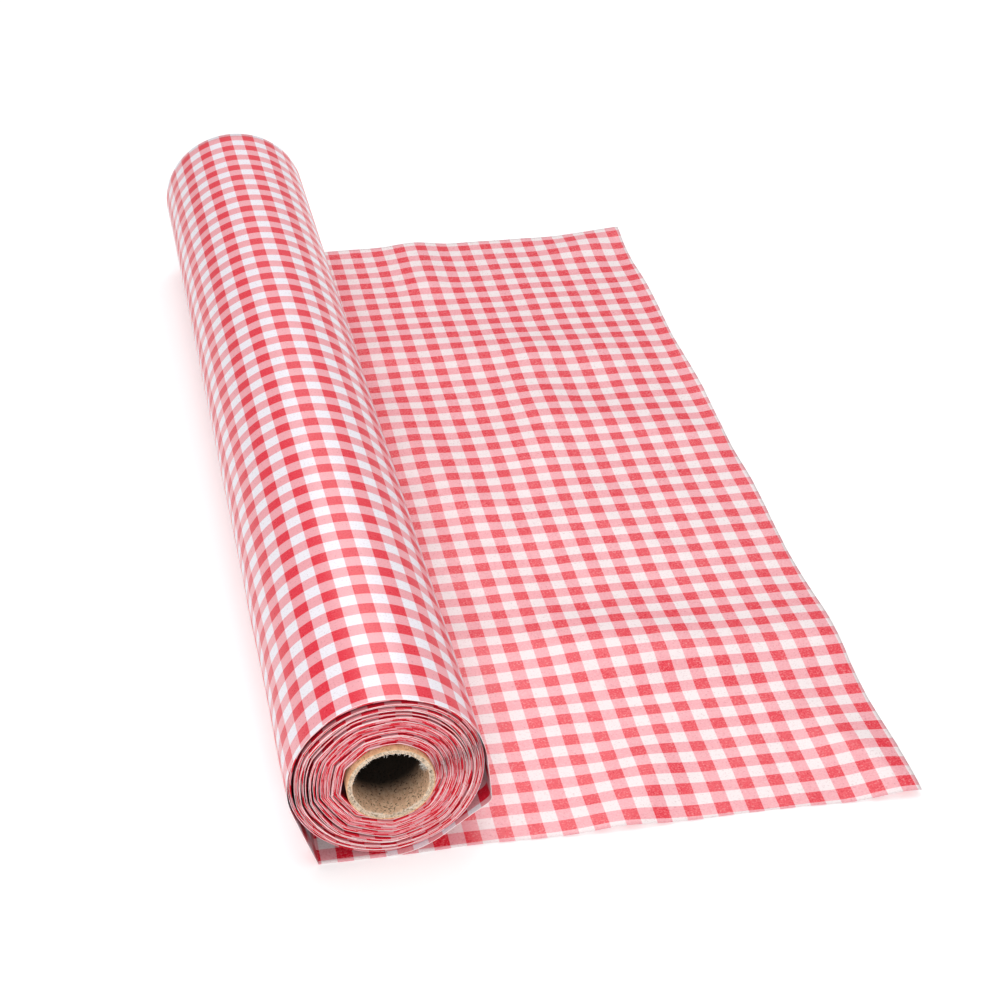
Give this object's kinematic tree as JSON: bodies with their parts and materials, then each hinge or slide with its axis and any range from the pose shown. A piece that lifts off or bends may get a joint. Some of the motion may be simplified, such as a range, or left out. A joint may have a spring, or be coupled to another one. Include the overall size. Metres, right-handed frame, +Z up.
{
  "type": "table cover roll",
  "caption": "Roll of gingham-printed plastic table-cover film on a paperboard core, partly unrolled: a flat laid length, a loose outer turn and the wound turns.",
  "frame": {"origin": "middle of the footprint, on the surface that the film lies on", "axes": "+Y along the roll away from its near end, +X towards the laid film's free edge, +Z up"},
  "size_m": [0.527, 1.0236, 0.1549],
  "materials": {
    "laid_film": "thin embossed plastic film, semi-gloss, printed with a red, pink and white gingham check of 12.7 mm squares",
    "loose_film": "the same film, creased, semi-gloss",
    "wound_film": "stacked film edges in red, pink and white",
    "core_liner": "smooth light orange-brown kraft liner",
    "core_board": "grey-brown fibrous recycled board, torn edge",
    "core_inside": "speckled brown recycled board",
    "tape": "satin clear tape"
  },
  "bodies": {
    "sheet": {"laid_panel": "laid_film"},
    "outer_turn": {"loose_turn": "loose_film"},
    "roll": {"outer_turns": "wound_film", "middle_turns": "wound_film", "inner_turns": "wound_film", "core_outer_liner": "core_liner", "core_body_ply_3": "core_board", "core_body_ply_2": "core_board", "core_body_ply_1": "core_board", "core_inner_liner": "core_inside", "start_tape": "tape"}
  },
  "joints": [
    {"name": "roll_travel", "type": "slide", "parent": "sheet", "child": "outer_turn", "axis": [1, 0, 0], "range_m": [0, 0.3302]},
    {"name": "roll_spin", "type": "hinge", "parent": "outer_turn", "child": "roll", "pos_m": [-0.18648, 0, 0.0779], "axis": [0, 1, 0], "range_deg": [0, 246]}
  ],
  "couplings": [
    {"joint": "roll_spin", "follows": "roll_travel", "rad_per_m": 12.987}
  ]
}
